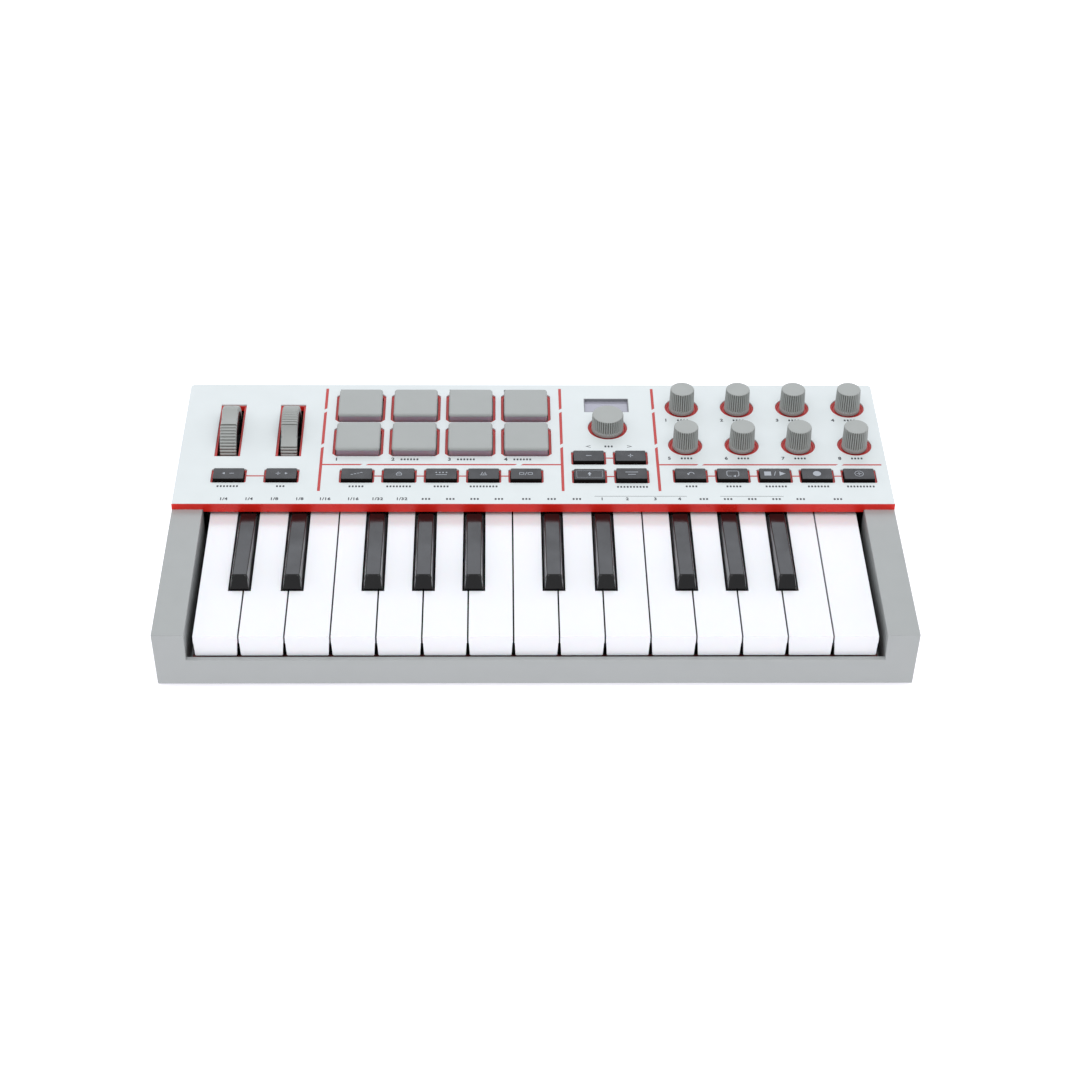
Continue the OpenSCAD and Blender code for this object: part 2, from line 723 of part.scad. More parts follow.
bottom_case();
accent_panel();
top_panel();
pad_mat();
display_module();
keybed_frame();
circuit_boards();
feet_and_screws();
pitch_wheel();
modulation_wheel();
knob(SELECTOR, selector_r, 0.25, selector_top);  // selector_knob
for (i = [0 : 7])
    knob(KNOBS[i], knob_r, 0.35, knob_top);
for (b = BUTTONS)
    button(b);
for (i = [0 : WHITE_COUNT - 1])
    white_key(i);
for (i = [0 : BLACK_COUNT - 1])
    black_key(i);
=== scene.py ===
import json
import math

import bmesh
import bpy
from mathutils import Matrix, Vector


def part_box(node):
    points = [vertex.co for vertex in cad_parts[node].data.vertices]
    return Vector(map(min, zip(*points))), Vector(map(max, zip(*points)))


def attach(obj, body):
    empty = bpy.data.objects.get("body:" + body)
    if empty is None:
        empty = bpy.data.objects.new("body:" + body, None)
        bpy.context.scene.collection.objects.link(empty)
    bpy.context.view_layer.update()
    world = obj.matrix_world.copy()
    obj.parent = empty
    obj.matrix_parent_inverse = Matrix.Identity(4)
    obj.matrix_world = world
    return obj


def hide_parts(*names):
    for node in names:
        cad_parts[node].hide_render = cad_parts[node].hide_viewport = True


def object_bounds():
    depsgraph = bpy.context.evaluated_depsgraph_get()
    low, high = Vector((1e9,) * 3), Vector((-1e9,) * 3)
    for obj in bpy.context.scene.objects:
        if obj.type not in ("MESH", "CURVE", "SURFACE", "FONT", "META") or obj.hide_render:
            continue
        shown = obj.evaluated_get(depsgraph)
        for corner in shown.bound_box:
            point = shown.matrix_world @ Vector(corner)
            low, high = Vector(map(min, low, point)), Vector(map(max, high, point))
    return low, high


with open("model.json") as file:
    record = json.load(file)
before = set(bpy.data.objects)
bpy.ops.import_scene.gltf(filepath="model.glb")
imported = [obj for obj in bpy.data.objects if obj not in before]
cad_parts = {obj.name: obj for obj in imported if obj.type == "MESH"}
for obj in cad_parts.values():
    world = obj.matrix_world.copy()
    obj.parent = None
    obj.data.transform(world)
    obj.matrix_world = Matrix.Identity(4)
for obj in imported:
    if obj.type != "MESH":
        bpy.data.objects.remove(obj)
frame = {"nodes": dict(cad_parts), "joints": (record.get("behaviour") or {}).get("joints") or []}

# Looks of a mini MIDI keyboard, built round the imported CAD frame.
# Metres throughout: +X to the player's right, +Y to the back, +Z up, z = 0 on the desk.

CAD_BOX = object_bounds()
NODES = frame["nodes"]
JOINTS = {joint["name"]: joint for joint in frame["joints"]}
MM = 0.001
BUTTON_NAMES = sorted(name for name in NODES if name.endswith("_button"))
KNOB_NAMES = ["selector_knob"] + [f"knob_{i}" for i in range(1, 9)]
WHITE_KEYS = sorted(name for name in NODES if name.startswith("white_key"))
BLACK_KEYS = sorted(name for name in NODES if name.startswith("black_key"))
ACCENT_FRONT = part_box("accent_panel")[0].y
PANEL_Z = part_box("top_panel")[1].z
BACK_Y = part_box("bottom_case")[1].y
OCTAVE = 140 * MM
FOOT_HEIGHT = 2 * MM
# Vertices of the CAD meshes nearer than this are one vertex
WELD = 0.002 * MM


# ---- Materials ----

class Shader:
    """A Principled material and the few kinds of node that its surface detail is made of."""

    def __init__(self, name, colour, roughness, **sockets):
        self.material = bpy.data.materials.new(name)
        self.material.use_nodes = True
        self.tree = self.material.node_tree
        self.surface = self.tree.nodes["Principled BSDF"]
        self.place = self.tree.nodes.new("ShaderNodeTexCoord").outputs["Object"]
        self.colour = colour
        self.surface.inputs["Base Color"].default_value = (*colour, 1)
        self.surface.inputs["Roughness"].default_value = roughness
        for socket, value in sockets.items():
            self.surface.inputs[socket.replace("_", " ")].default_value = value
        self.material.diffuse_color = (*colour, 1)

    def noise(self, size, detail=3.0, stretch=(1, 1, 1)):
        """A noise pattern whose features are about size metres across."""
        scale = self.tree.nodes.new("ShaderNodeMapping")
        scale.inputs["Scale"].default_value = stretch
        pattern = self.tree.nodes.new("ShaderNodeTexNoise")
        pattern.inputs["Scale"].default_value = 1 / size
        pattern.inputs["Detail"].default_value = detail
        self.tree.links.new(self.place, scale.inputs["Vector"])
        self.tree.links.new(scale.outputs["Vector"], pattern.inputs["Vector"])
        return pattern.outputs["Fac"]

    def spread(self, source, low, high):
        """Maps the middle of a pattern to a range of values."""
        remap = self.tree.nodes.new("ShaderNodeMapRange")
        pattern_low, pattern_high = 0.3, 0.7
        remap.inputs["From Min"].default_value = pattern_low
        remap.inputs["From Max"].default_value = pattern_high
        remap.inputs["To Min"].default_value = low
        remap.inputs["To Max"].default_value = high
        self.tree.links.new(source, remap.inputs["Value"])
        return remap.outputs["Result"]

    def mottle(self, size, amount, other=None):
        """Lets the colour wander a little towards another, darker by default."""
        mix = self.tree.nodes.new("ShaderNodeMix")
        mix.data_type = "RGBA"
        second = other or tuple(c * (1 - amount) for c in self.colour)
        mix.inputs["A"].default_value = (*self.colour, 1)
        mix.inputs["B"].default_value = (*second, 1)
        self.tree.links.new(self.noise(size), mix.inputs["Factor"])
        self.tree.links.new(mix.outputs["Result"], self.surface.inputs["Base Color"])
        return self

    def polish(self, size, low, high):
        """Lets the roughness wander between two values."""
        self.tree.links.new(self.spread(self.noise(size), low, high), self.surface.inputs["Roughness"])
        return self

    def grain(self, size, height, detail=2.0, stretch=(1, 1, 1)):
        """A fine moulded or ground texture, as bump."""
        bump = self.tree.nodes.new("ShaderNodeBump")
        bump.inputs["Strength"].default_value = 1
        bump.inputs["Distance"].default_value = height
        self.tree.links.new(self.noise(size, detail, stretch), bump.inputs["Height"])
        self.tree.links.new(bump.outputs["Normal"], self.surface.inputs["Normal"])
        return self


def moulded(name, colour, roughness, grain=0.35 * MM, height=0.006 * MM, **sockets):
    """Plastic with a fine spark-eroded texture."""
    shader = Shader(name, colour, roughness, **sockets)
    shader.mottle(14 * MM, 0.05).polish(6 * MM, roughness - 0.05, roughness + 0.06)
    return shader.grain(grain, height)


def polished(name, colour, roughness, **sockets):
    """Glossy plastic with the faint waviness of a polished mould."""
    shader = Shader(name, colour, roughness, **sockets)
    shader.mottle(25 * MM, 0.03).polish(9 * MM, roughness * 0.8, roughness * 1.35)
    return shader.grain(5 * MM, 0.008 * MM, detail=1.0)


def metal(name, colour, roughness, stretch=(1, 1, 1)):
    """Plated metal with fine directional marks."""
    shader = Shader(name, colour, roughness, Metallic=1.0)
    shader.mottle(3 * MM, 0.15).polish(1.5 * MM, roughness - 0.06, roughness + 0.1)
    return shader.grain(0.3 * MM, 0.004 * MM, stretch=stretch)


MATERIAL = {
    "case": moulded("case_grey_plastic", (0.402, 0.42, 0.42), 0.5),
    "white": moulded("panel_white_overlay", (0.74, 0.79, 0.80), 0.42, grain=0.5 * MM, height=0.002 * MM),
    # Painted shade: the red moulding's upward faces get a darker copy of its red and its front faces the
    # brighter one; only the rougher top finish is a real difference
    "red": polished("accent_red_plastic", (0.82, 0.018, 0.01), 0.3),
    "red_shaded_top": moulded("accent_red_top_painted_shade", (0.55, 0.05, 0.045), 0.5, height=0.003 * MM),
    "pad": moulded("pad_grey_silicone", (0.405, 0.425, 0.42), 0.62, grain=0.25 * MM, height=0.008 * MM),
    "pad_side": moulded("pad_lilac_light_guide", (0.42, 0.33, 0.40), 0.38, Subsurface_Weight=0.25,
                        Subsurface_Scale=2 * MM),
    "control": moulded("control_grey_plastic", (0.40, 0.42, 0.41), 0.55,
                       grain=0.3 * MM, height=0.008 * MM),
    # Painted shade: a darker copy of the control grey, put on the faces deep in the knobs' flutes and the
    # tyres' ribs in place of the shade that falls in the grooves
    "groove": moulded("control_grey_painted_groove_shade", (0.20, 0.205, 0.19), 0.7,
                      grain=0.3 * MM, height=0.008 * MM),
    "core": polished("wheel_core_black", (0.012, 0.012, 0.014), 0.25),
    "button": moulded("button_charcoal_plastic", (0.008, 0.008, 0.009), 0.3,
                      grain=0.4 * MM, height=0.002 * MM),
    "button_side": moulded("button_matt_sides", (0.004, 0.004, 0.004), 0.5, Specular_IOR_Level=0.12),
    "key_white": polished("key_white_plastic", (0.88, 0.885, 0.92), 0.18, Subsurface_Weight=0.08,
                          Subsurface_Scale=1.5 * MM),
    "key_black": polished("key_black_plastic", (0.006, 0.006, 0.007), 0.17),
    "black": moulded("black_plastic", (0.02, 0.02, 0.022), 0.5),
    "rubber": moulded("foot_rubber", (0.022, 0.022, 0.022), 0.75, grain=0.2 * MM, height=0.015 * MM),
    "steel": metal("plated_steel", (0.62, 0.62, 0.64), 0.28, stretch=(1, 6, 1)),
    "felt": Shader("stop_felt_red", (0.30, 0.03, 0.03), 0.95, Sheen_Weight=0.8)
        .mottle(1 * MM, 0.4).grain(0.15 * MM, 0.08 * MM),
    "board": Shader("circuit_board_green", (0.012, 0.10, 0.04), 0.35, Coat_Weight=0.5)
        .mottle(2.5 * MM, 0.5).grain(1.2 * MM, 0.03 * MM),
    "dome": moulded("contact_silicone", (0.55, 0.56, 0.58), 0.45, Subsurface_Weight=0.3,
                    Subsurface_Scale=1 * MM),
    "dark_ink": moulded("dark_ink", (0.04, 0.045, 0.055), 0.6, grain=0.2 * MM, height=0.001 * MM),
    "pale_ink": moulded("pale_ink", (0.42, 0.45, 0.50), 0.6, grain=0.2 * MM, height=0.001 * MM),
    "bezel": moulded("display_bezel_plastic", (0.26, 0.265, 0.29), 0.4),
    "window": polished("display_window", (0.36, 0.36, 0.43), 0.08),
}


# ---- Mesh helpers ----

def add_object(name, mesh):
    obj = bpy.data.objects.new(name, mesh)
    bpy.context.scene.collection.objects.link(obj)
    return obj


def shade(mesh, angle=32):
    """Smooth shading that breaks at edges sharper than angle degrees."""
    mesh.shade_smooth()
    mesh.set_sharp_from_angle(angle=math.radians(angle))


def to_object(name, bm, angle=32):
    """Closes a bmesh into an object with outward faces."""
    bmesh.ops.recalc_face_normals(bm, faces=bm.faces)
    mesh = bpy.data.meshes.new(name)
    bm.to_mesh(mesh)
    bm.free()
    shade(mesh, angle)
    return add_object(name, mesh)


def dress(obj, body, slot, *materials, replaces=()):
    """Gives a piece its materials and its body, and hides the CAD nodes that it stands for. The slot is not
    used.
    """
    for key in materials:
        obj.data.materials.append(MATERIAL[key].material)
    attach(obj, body)
    if replaces:
        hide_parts(*replaces)
    return obj


def loft(bm, rings, material=0):
    """Skins closed rings of points, one after another, and caps both ends. Returns its faces."""
    loops = [[bm.verts.new(point) for point in ring] for ring in rings]
    count = len(loops[0])
    faces = [bm.faces.new((a[i], a[(i + 1) % count], b[(i + 1) % count], b[i]))
             for a, b in zip(loops, loops[1:]) for i in range(count)]
    faces.append(bm.faces.new(list(reversed(loops[0]))))
    faces.append(bm.faces.new(loops[-1]))
    for face in faces:
        face.material_index = material
    return faces


# Corners of a rectangle: sides in x and y, and the angle at which a corner's arc starts
CORNERS = ((1, 1, 0), (-1, 1, 90), (-1, -1, 180), (1, -1, 270))


def rounded_loop(width, depth, radius, steps=5):
    """Points of a rectangle with rounded corners, centred, counter-clockwise."""
    points = []
    for sx, sy, start in CORNERS:
        for step in range(steps + 1):
            turn = math.radians(start + 90 * step / steps)
            points.append((sx * (width / 2 - radius) + radius * math.cos(turn),
                           sy * (depth / 2 - radius) + radius * math.sin(turn)))
    return points


def block_rings(centre, width, depth, radius, levels, steps=5):
    """Rings of a rounded block: each level is (z, how far the outline is drawn in)."""
    rings = []
    for z, inset in levels:
        loop = rounded_loop(width - 2 * inset, depth - 2 * inset, max(radius - inset, 0.15 * MM), steps)
        rings.append([Vector((centre[0] + x, centre[1] + y, z)) for x, y in loop])
    return rings


def edge_levels(z_top, radius, steps=4):
    """Levels that round off the top edge of a block."""
    return [(z_top - radius + radius * math.sin(math.pi / 2 * i / steps),
             radius - radius * math.cos(math.pi / 2 * i / steps)) for i in range(steps + 1)]


def turned_rings(centre, profile, segments, ripple=None):
    """Rings round the Z axis through centre: profile is a list of (radius, z, share of the ripple)."""
    rings = []
    for radius, z, share in profile:
        ring = []
        for i in range(segments):
            turn = 2 * math.pi * i / segments
            r = radius - (share * ripple(turn) if ripple else 0)
            ring.append(Vector((centre[0] + r * math.cos(turn), centre[1] + r * math.sin(turn), z)))
        rings.append(ring)
    return rings


def tube_rings(centre, axis, radii, segments=40):
    """Rings round any axis: radii is a list of (distance along the axis, radius)."""
    axis = Vector(axis).normalized()
    side = axis.orthogonal().normalized()
    up = axis.cross(side)
    return [[Vector(centre) + axis * along + radius * (side * math.cos(2 * math.pi * i / segments)
             + up * math.sin(2 * math.pi * i / segments)) for i in range(segments)]
            for along, radius in radii]


def skin(node, name, *rounds, angle=35):
    """A copy of a CAD node with clean flat faces and its sharp edges rounded.
    Each round is (width, segments) or (width, segments, rule), where rule(edge) picks the edges."""
    bm = bmesh.new()
    bm.from_mesh(NODES[node].data)
    bmesh.ops.remove_doubles(bm, verts=bm.verts, dist=WELD)
    bmesh.ops.dissolve_limit(bm, angle_limit=math.radians(0.5), verts=bm.verts, edges=bm.edges)
    for width, segments, *rule in rounds:
        sharp = [edge for edge in bm.edges if len(edge.link_faces) == 2
                 and edge.calc_face_angle(0) > math.radians(angle) and all(pick(edge) for pick in rule)]
        bmesh.ops.bevel(bm, geom=sharp, offset=width, offset_type="OFFSET", segments=segments,
                        profile=0.5, affect="EDGES", clamp_overlap=True)
    mesh = bpy.data.meshes.new(name)
    bm.to_mesh(mesh)
    bm.free()
    shade(mesh)
    obj = add_object(name, mesh)
    normals = obj.modifiers.new("flat_faces", "WEIGHTED_NORMAL")
    normals.keep_sharp = True
    return obj


def paint(obj, rule):
    """Sets each face's material number from rule(centre, normal)."""
    for polygon in obj.data.polygons:
        polygon.material_index = rule(polygon.center, polygon.normal)


def middle(node):
    """Centre of a CAD node's box."""
    low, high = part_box(node)
    return (low + high) / 2


# ---- Case and panels ----

def build_case():
    low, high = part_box("bottom_case")
    shortest, side, front, rim = 6 * MM, 1.5 * MM, 3 * MM, 0.1 * MM

    def outside(edge):
        """The long edges of the outer shape, away from holes and ribs."""
        ends = [v.co for v in edge.verts]
        return edge.calc_length() > shortest and all(
            p.x < low.x + side or p.x > high.x - side or p.y < low.y + front or p.z > high.z - rim
            for p in ends)

    case = skin("bottom_case", "case_shell", (0.3 * MM, 3, outside))
    dress(case, "root", "case_grey", "case", replaces=["bottom_case"])


def build_accent():
    accent = skin("accent_panel", "accent_moulding", (0.15 * MM, 2))
    # Painted shade: faces that point up get the darker red, the rest the brighter red
    paint(accent, lambda centre, normal: 1 if normal.z > 0.5 else 0)
    dress(accent, "root", "accent_red", "red", "red_shaded_top", replaces=["accent_panel"])


def build_overlay():
    overlay = skin("top_panel", "white_overlay", (0.12 * MM, 2))
    dress(overlay, "root", "panel_white", "white", replaces=["top_panel"])


# ---- Pads ----

def pad_centres():
    """The eight pads stand in a grid of four by two on their sheet."""
    from_side, from_end = 11.5 * MM, 12 * MM
    low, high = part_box("pad_mat")
    left, right = low.x + from_side, high.x - from_side
    rows = (low.y + from_end, high.y - from_end)
    return [(left + (right - left) * i / 3, y) for y in rows for i in range(4)]


def build_pad(number, centre):
    """A grey cap with rounded edges, on a lilac foot that lets the light out round it."""
    low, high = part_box("pad_mat")
    width, depth, corner = 21.0 * MM, 21.4 * MM, 1.5 * MM
    split = high.z - 1.7 * MM
    foot = [(low.z + 1 * MM, 0.35 * MM), (split - 0.15 * MM, 0.35 * MM), (split, 0.3 * MM)]
    cap = [(split - 0.02 * MM, 0.25 * MM), (split + 0.1 * MM, 0.03 * MM), (split + 0.3 * MM, 0)]
    cap += edge_levels(high.z - 0.12 * MM, 1.1 * MM, 7)
    cap += [(high.z - 0.06 * MM, 2.2 * MM), (high.z - 0.02 * MM, 5 * MM), (high.z, 8.5 * MM)]
    bm = bmesh.new()
    loft(bm, block_rings(centre, width, depth, corner, foot), material=1)
    loft(bm, block_rings(centre, width, depth, corner, cap))
    dress(to_object(f"pad_{number}", bm), "root", "pad_silicone", "pad", "pad_side")


def build_pad_sheet():
    """The sheet under the pads, with a round notch in its back edge."""
    low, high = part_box("pad_mat")
    centre = middle("pad_mat")
    corner, thickness = 2 * MM, 1.4 * MM
    notch_x, notch_r, notch_steps = -52 * MM, 3.8 * MM, 12
    outline = [(centre.x + x, centre.y + y)
               for x, y in rounded_loop(high.x - low.x, high.y - low.y, corner)]
    notch = [(notch_x + notch_r * math.cos(a), high.y + notch_r * math.sin(a))
             for a in (-math.pi * i / notch_steps for i in range(notch_steps + 1))]
    first_corner = len(outline) // 4
    outline = outline[:first_corner] + notch + outline[first_corner:]
    bm = bmesh.new()
    loft(bm, [[Vector((x, y, z)) for x, y in outline] for z in (low.z, low.z + thickness)])
    dress(to_object("pad_sheet", bm), "root", "pad_silicone", "pad", replaces=["pad_mat"])


def build_pads():
    for number, centre in enumerate(pad_centres(), start=1):
        build_pad(number, centre)
    build_pad_sheet()


# ---- Display ----

def build_display():
    display = skin("display_module", "display_unit", (0.06 * MM, 1))
    lens_z, lens_tolerance = PANEL_Z - 1.5 * MM, 0.2 * MM

    def rule(centre, normal):
        return 1 if normal.z > 0.9 and abs(centre.z - lens_z) < lens_tolerance else 0

    paint(display, rule)
    dress(display, "root", "display", "bezel", "window", replaces=["display_module"])


# ---- Keys ----

def build_white_key(node):
    low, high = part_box(node)
    near, lip = 0.1 * MM, 2 * MM

    def visible(edge):
        """Edges of the top and the upright edges of the front, away from the shell's inside."""
        return (all(v.co.z > high.z - near for v in edge.verts)
                or all(v.co.y < low.y + near for v in edge.verts)
                and max(v.co.z for v in edge.verts) > low.z + lip)

    key = skin(node, f"{node}_shell", (0.12 * MM, 2, visible))
    dress(key, node, "key_white", "key_white", replaces=[node])


def build_white_keys():
    for node in WHITE_KEYS:
        build_white_key(node)


def black_section(x, y, base_z, base_half, shoulder_z, top_z, top_half, edge):
    """One cross-section of a black key: upright below, drawn in to a top with rounded-off edges."""
    steps = 5
    drop = 0.7 * edge
    points = [(base_half, base_z), (base_half, shoulder_z)]
    for i in range(steps + 1):
        turn = math.pi / 2 * i / steps
        points.append((top_half - edge + edge * math.cos(turn), top_z - drop + drop * math.sin(turn)))
    points += [(-px, pz) for px, pz in reversed(points)]
    return [Vector((x + px, y, pz)) for px, pz in points]


def black_sections(x, low, high):
    """Cross-sections of a black key from its front face to where its arm begins."""
    half = (high.x - low.x) / 2
    base, side_z, slope_z = low.z + 2.6 * MM, high.z - 6.1 * MM, high.z - 5 * MM
    slope_end, panel_front, body_end = low.y + 4.1 * MM, ACCENT_FRONT - 0.7 * MM, low.y + 60 * MM
    top_half, foot_half, edge, arch = 3.35 * MM, 3.9 * MM, 0.75 * MM, 1.1 * MM
    drop, widening = 4.3 * MM, 0.3 * MM
    arch_start, arch_length = 0.45, 0.5
    sections = []
    for share in (0, 0.25, 0.45, 0.6, 0.7, 0.78, 0.85, 0.91, 0.95, 1):
        rise = min(1, max(0, (share - arch_start) / arch_length))
        rounding = edge + arch * (1 - math.sqrt(1 - rise ** 2)) if share < 1 else edge
        width = foot_half + (top_half - foot_half) * share
        sections.append(black_section(x, low.y + (slope_end - low.y) * share, base, half, side_z,
                                      slope_z + (high.z - slope_z) * share, width, rounding))
    sections.append(black_section(x, slope_end + 0.25 * MM, base, half, side_z, high.z, top_half, edge))
    for share in (0.5, 1):
        y = slope_end + (panel_front - slope_end) * share
        sections.append(black_section(x, y, base, half, side_z, high.z - drop * share,
                                      top_half + widening * share, edge))
    arm_side, arm_top, arm_half, arm_edge = side_z - 0.3 * MM, side_z + 0.5 * MM, 3.7 * MM, 0.3 * MM
    for y in (panel_front + 0.2 * MM, body_end):
        sections.append(black_section(x, y, base, half, arm_side, arm_top, arm_half, arm_edge))
    return sections


def build_black_keys():
    for node in BLACK_KEYS:
        low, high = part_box(node)
        x = (low.x + high.x) / 2
        sections = black_sections(x, low, high)
        bm = bmesh.new()
        loft(bm, sections)
        tail(bm, x, sections[-1][0].y - 0.5 * MM)
        dress(to_object(f"{node}_shell", bm, 30), node, "key_black", "key_black", replaces=[node])


def tail(bm, x, start_y):
    """The arm behind a black key and the eye that turns on the pivot rod."""
    pivot = Vector(JOINTS["black_key_01_press"]["pos_m"])
    half, radius, bore = 3.2 * MM, 3.2 * MM, 1.56 * MM
    arc_steps, hole_steps = 16, 24
    arc = [(pivot.y + radius * math.sin(a), pivot.z + radius * math.cos(a))
           for a in (math.pi * i / arc_steps for i in range(arc_steps + 1))]
    outline = [(start_y, pivot.z + radius)] + arc + [(start_y, pivot.z - radius)]
    hole = [(pivot.y + bore * math.cos(a), pivot.z + bore * math.sin(a))
            for a in (2 * math.pi * i / hole_steps for i in range(hole_steps))]
    sides = []
    for sx in (-half, half):
        loops = [[bm.verts.new((x + sx, y, z)) for y, z in points] for points in (outline, hole)]
        edges = [bm.edges.new((loop[i], loop[(i + 1) % len(loop)]))
                 for loop in loops for i in range(len(loop))]
        bmesh.ops.triangle_fill(bm, use_beauty=True, use_dissolve=False, edges=edges)
        sides.append(loops)
    for left, right in zip(*sides):
        count = len(left)
        for i in range(count):
            bm.faces.new((left[i], left[(i + 1) % count], right[(i + 1) % count], right[i]))


# ---- Buttons ----

def build_buttons():
    for node in BUTTON_NAMES:
        cap = skin(node, f"{node}_cap",
                   (0.2 * MM, 3, lambda edge: max(v.co.z for v in edge.verts) > PANEL_Z))
        paint(cap, lambda centre, normal: 1 if normal.z < 0.3 else 0)
        dress(cap, node, "button_charcoal", "button", "button_side", replaces=[node])


# ---- Knobs ----

def build_knob(node):
    """A fluted grey cap with a plain band at its foot, on a steel shaft."""
    low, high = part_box(node)
    centre = middle(node)
    radius = (high.x - low.x) / 2
    flute_pitch, flute_depth, flute_points = 1.2 * MM, 0.7 * MM, 10
    flutes = round(2 * math.pi * radius / flute_pitch)
    foot, top = PANEL_Z - 0.8 * MM, high.z
    taper = 0.25 * MM if node == "selector_knob" else 0.35 * MM
    band, start, end = foot + 1.6 * MM, foot + 2.1 * MM, top - 0.55 * MM

    def groove(turn):
        """Narrow grooves between wider rounded ribs."""
        wave = 0.5 + 0.5 * math.cos(flutes * turn)
        return flute_depth * wave ** 1.3

    def wall(z):
        """Radius of the tapered cap at a height."""
        return radius - taper * (z - foot) / (top - foot)

    profile = [(radius - 1.7 * MM, foot + 0.5 * MM, 0), (radius - 1.5 * MM, foot, 0),
               (radius - 0.25 * MM, foot, 0), (radius - 0.05 * MM, foot + 0.12 * MM, 0),
               (wall(foot + 0.4 * MM), foot + 0.4 * MM, 0), (wall(band), band, 0),
               (wall(start), start, 1), (wall((start + end) / 2), (start + end) / 2, 1),
               (wall(end), end, 1), (wall(end) - 0.04 * MM, end + 0.2 * MM, 0.6),
               (wall(end) - 0.14 * MM, end + 0.38 * MM, 0.25),
               (wall(end) - 0.34 * MM, top - 0.06 * MM, 0), (wall(end) - 0.6 * MM, top, 0),
               (radius * 0.5, top - 0.02 * MM, 0), (radius * 0.1, top - 0.03 * MM, 0)]
    bm = bmesh.new()
    faces = loft(bm, turned_rings(centre, profile, flutes * flute_points, groove))
    # Painted shade: faces deep in the flutes get the darker grey, standing in for the shade in the grooves
    for face in faces:
        spot = face.calc_center_median() - centre
        deep = wall(spot.z + centre.z) - math.hypot(spot.x, spot.y) > 0.3 * MM
        face.material_index = 2 if deep and start < spot.z + centre.z < end else 0
    shaft_r, chamfer = 3 * MM, 0.3 * MM
    shaft = [(shaft_r - chamfer, low.z, 0), (shaft_r, low.z + chamfer, 0), (shaft_r, foot + 1.5 * MM, 0)]
    loft(bm, turned_rings(centre, shaft, 40), material=1)
    dress(to_object(f"{node}_cap", bm, 50), node, "control_grey", "control", "steel", "groove",
          replaces=[node])


def build_knobs():
    for node in KNOB_NAMES:
        build_knob(node)


# ---- Wheels ----

WHEEL_R, WHEEL_HALF = 19 * MM, 3.85 * MM
RIBS, RIB_POINTS, RIB_DEPTH = 70, 10, 0.75 * MM


def tyre_stations():
    """(angle, radius, groove depth) round a tyre: the smooth thumb scoop first, then the ribs."""
    scoop_r, scoop_depth, scoop_steps = 10 * MM, 2.3 * MM, 12
    scoop_centre = WHEEL_R + scoop_r - scoop_depth
    scoop_edge = math.acos((scoop_centre ** 2 + WHEEL_R ** 2 - scoop_r ** 2) / (2 * scoop_centre * WHEEL_R))
    stations = []
    for i in range(-scoop_steps, scoop_steps + 1):
        turn = scoop_edge * i / scoop_steps
        r = scoop_centre * math.cos(turn) - math.sqrt(scoop_r ** 2 - (scoop_centre * math.sin(turn)) ** 2)
        stations.append((turn, r, 0))
    first_groove = math.radians(19.9)
    groove_step = 2 * (math.pi - first_groove) / (RIBS - 1)
    first_rib = first_groove - groove_step / 2
    for i in range(RIBS * RIB_POINTS + 1):
        share = i % RIB_POINTS / RIB_POINTS
        height = RIB_DEPTH * abs(math.sin(math.pi * share)) ** 0.5 if share else 0
        stations.append((first_rib + groove_step * i / RIB_POINTS, WHEEL_R, RIB_DEPTH - height))
    return stations


def build_tyre(node, axle, scoop_turn):
    """A grooved grey tyre, its scoop turned from the top towards the player."""

    def ring(turn, r, groove):
        """The tyre's cross-section at one angle, from one side to the other."""
        edge = r - 0.45 * MM - groove
        across = [(-WHEEL_HALF, WHEEL_R - 2.6 * MM), (-WHEEL_HALF, edge - 0.3 * MM),
                  (-WHEEL_HALF + 0.12 * MM, edge), (-WHEEL_HALF + 0.35 * MM, r - 0.1 * MM - groove),
                  (-WHEEL_HALF + 0.6 * MM, r - groove), (0, r - groove)]
        across += [(-x, q) for x, q in reversed(across[:-1])]
        y, z = -math.sin(turn + scoop_turn), math.cos(turn + scoop_turn)
        return [Vector((axle.x + x, axle.y + q * y, axle.z + q * z)) for x, q in across]

    stations = tyre_stations()
    depths = [station[2] for station in stations]
    bm = bmesh.new()
    rows = [[bm.verts.new(point) for point in ring(*station)] for station in stations]
    count = len(rows[0])
    # Painted shade: faces at the bottom of the grooves between the ribs get the darker grey, standing in
    # for the shade there
    for i, (a, b) in enumerate(zip(rows, rows[1:] + rows[:1])):
        valley = depths[i] + depths[(i + 1) % len(rows)] > 0.6 * MM
        for k in range(count):
            face = bm.faces.new((a[k], a[(k + 1) % count], b[(k + 1) % count], b[k]))
            face.material_index = 1 if valley and k < count - 1 else 0
    dress(to_object(f"{node}_tyre", bm, 50), node, "control_grey", "control", "groove", replaces=[node])


def build_core(node, axle, axle_end):
    """The black disc inside a tyre, with its hub and the axle that turns in the bearings."""
    face, hub = WHEEL_HALF - 0.25 * MM, WHEEL_HALF + 0.2 * MM
    axle_r, chamfer, hub_r = 2.5 * MM, 0.3 * MM, 5 * MM
    core = [(-axle_end, axle_r - chamfer), (-axle_end + chamfer, axle_r), (-hub, axle_r),
            (-hub, hub_r), (-face, hub_r + 0.2 * MM), (-face, WHEEL_R - 2.4 * MM)]
    core += [(-x, q) for x, q in reversed(core)]
    bm = bmesh.new()
    loft(bm, tube_rings((axle.x, axle.y, axle.z), (1, 0, 0), core, 72))
    dress(to_object(f"{node}_core", bm), node, "keybed_black", "core")


def build_wheel(node, joint, scoop_turn):
    low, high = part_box(node)
    axle = Vector(JOINTS[joint]["pos_m"])
    build_tyre(node, axle, scoop_turn)
    build_core(node, axle, (high.x - low.x) / 2)


# ---- Inside ----

